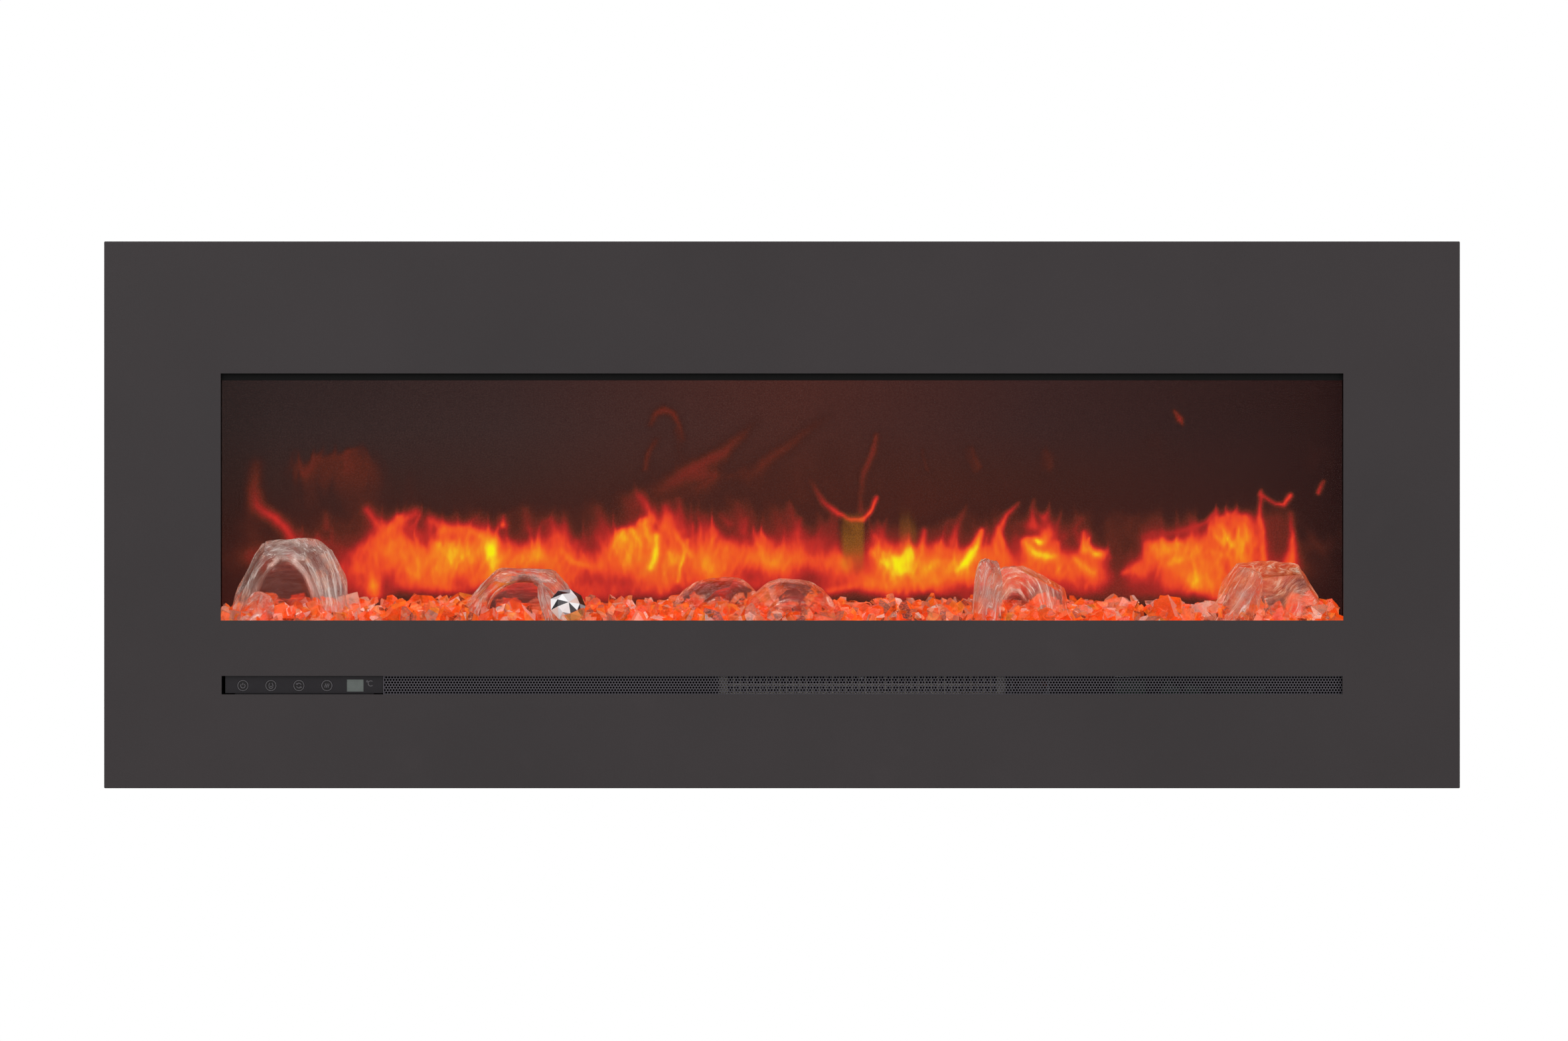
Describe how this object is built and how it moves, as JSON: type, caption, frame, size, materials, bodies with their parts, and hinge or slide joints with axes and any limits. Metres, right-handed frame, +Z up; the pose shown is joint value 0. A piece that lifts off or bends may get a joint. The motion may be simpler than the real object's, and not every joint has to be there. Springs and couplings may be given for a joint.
{
  "type": "electric fireplace",
  "caption": "Wall-hung linear electric fireplace: wide steel surround, glass window over lit crystals and a flame screen, warm-air strip with round keys and a display below.",
  "frame": {"origin": "centre of the wall bracket's back face, on the wall", "axes": "+X right as seen from the front, +Y into the wall (the front faces -Y), +Z up"},
  "size_m": [1.413, 0.151, 0.57],
  "materials": {
    "surround_coat": "satin charcoal powder coat",
    "casing_coat": "matt black powder coat",
    "zinc_steel": "bright zinc-plated sheet",
    "bright_steel": "plated steel",
    "vane_aluminium": "bright aluminium sheet",
    "black_steel": "satin black enamel",
    "pane_glass": "clear toughened glass",
    "crystal_glass": "clear cut glass",
    "screen_plastic": "smoked translucent sheet, lit from behind",
    "tray_plastic": "frosted diffuser, lit from below",
    "grille_steel": "satin grey coat",
    "fascia_plastic": "fine-grained moulding",
    "key_plastic": "moulded, printed symbols",
    "display_plastic": "grey-green liquid-crystal window",
    "circuit_board": "green solder mask",
    "black_nylon": "moulded nylon",
    "soft_rubber": "matt",
    "motor_iron": "laminated steel, oiled",
    "coil_wire": "enamelled copper under tape",
    "element_ceramic": "pressed ceramic and fins",
    "lead_sleeve": "woven sleeve"
  },
  "bodies": {
    "wall_bracket": {"wall_bracket": "zinc_steel"},
    "casing": {"back_panel": "casing_coat", "blower_end_plates": "zinc_steel", "blower_scroll": "zinc_steel", "bottom_panel": "casing_coat", "casing_hooks": "zinc_steel", "casing_screws": "bright_steel", "chamber_liner": "black_steel", "control_board": "circuit_board", "control_fascia": "fascia_plastic", "cord_gland": "black_nylon", "crystal_boulders": "crystal_glass", "crystal_media": "crystal_glass", "display_lens": "display_plastic", "divider_shelf": "zinc_steel", "ember_led_board": "circuit_board", "ember_tray": "tray_plastic", "flame_led_board": "circuit_board", "flame_screen": "screen_plastic", "flame_stencil": "vane_aluminium", "flicker_motor": "bright_steel", "flicker_motor_plate": "zinc_steel", "front_frame": "casing_coat", "glass_clips": "zinc_steel", "glass_pane": "pane_glass", "glass_rail_bottom": "black_steel", "glass_rail_top": "black_steel", "glass_seals": "soft_rubber", "hanger_studs": "bright_steel", "heating_element": "element_ceramic", "motor_bridges": "zinc_steel", "motor_coil": "coil_wire", "motor_stack": "motor_iron", "outlet_duct": "black_steel", "outlet_grille": "grille_steel", "power_board": "circuit_board", "rocker_housing": "black_nylon", "screen_brackets": "zinc_steel", "service_cover": "casing_coat", "side_panel_left": "casing_coat", "side_panel_right": "casing_coat", "spindle_bearing": "zinc_steel", "thermal_cutout": "black_nylon", "top_panel": "casing_coat", "wall_bumpers": "soft_rubber", "wire_harness": "lead_sleeve"},
    "surround": {"front_surround": "surround_coat", "surround_hangers": "zinc_steel"},
    "flicker_rotor": {"flicker_axle": "bright_steel", "flicker_vanes": "vane_aluminium", "spindle_coupling": "black_nylon", "flicker_motor_shaft": "bright_steel"},
    "blower_rotor": {"blower_wheel": "vane_aluminium", "blower_shaft": "bright_steel", "motor_rotor": "bright_steel"},
    "key_power": {"key_power": "key_plastic"},
    "key_flame": {"key_flame": "key_plastic"},
    "key_ember": {"key_ember": "key_plastic"},
    "key_heat": {"key_heat": "key_plastic"},
    "rocker": {"rocker_paddle": "black_nylon"}
  },
  "joints": [
    {"name": "hang_lift", "type": "slide", "parent": "wall_bracket", "child": "casing", "axis": [0, 0, 1], "range_m": [0, 0.016]},
    {"name": "surround_lift", "type": "slide", "parent": "casing", "child": "surround", "axis": [0, 0, 1], "range_m": [0, 0.012]},
    {"name": "flicker_spin", "type": "hinge", "parent": "casing", "child": "flicker_rotor", "pos_m": [0, -0.04, -0.222], "axis": [1, 0, 0], "continuous": true},
    {"name": "blower_spin", "type": "hinge", "parent": "casing", "child": "blower_rotor", "pos_m": [0, -0.062, -0.2902], "axis": [1, 0, 0], "continuous": true},
    {"name": "key_power_press", "type": "slide", "parent": "casing", "child": "key_power", "axis": [0, 1, 0], "range_m": [0, 0.0008], "stiffness_N_per_m": 1000, "springref_m": -0.0005},
    {"name": "key_flame_press", "type": "slide", "parent": "casing", "child": "key_flame", "axis": [0, 1, 0], "range_m": [0, 0.0008], "stiffness_N_per_m": 1000, "springref_m": -0.0005},
    {"name": "key_ember_press", "type": "slide", "parent": "casing", "child": "key_ember", "axis": [0, 1, 0], "range_m": [0, 0.0008], "stiffness_N_per_m": 1000, "springref_m": -0.0005},
    {"name": "key_heat_press", "type": "slide", "parent": "casing", "child": "key_heat", "axis": [0, 1, 0], "range_m": [0, 0.0008], "stiffness_N_per_m": 1000, "springref_m": -0.0005},
    {"name": "rocker_tilt", "type": "hinge", "parent": "casing", "child": "rocker", "pos_m": [0.6075, -0.094, -0.2915], "axis": [0, 1, 0], "range_deg": [0, 20]}
  ]
}
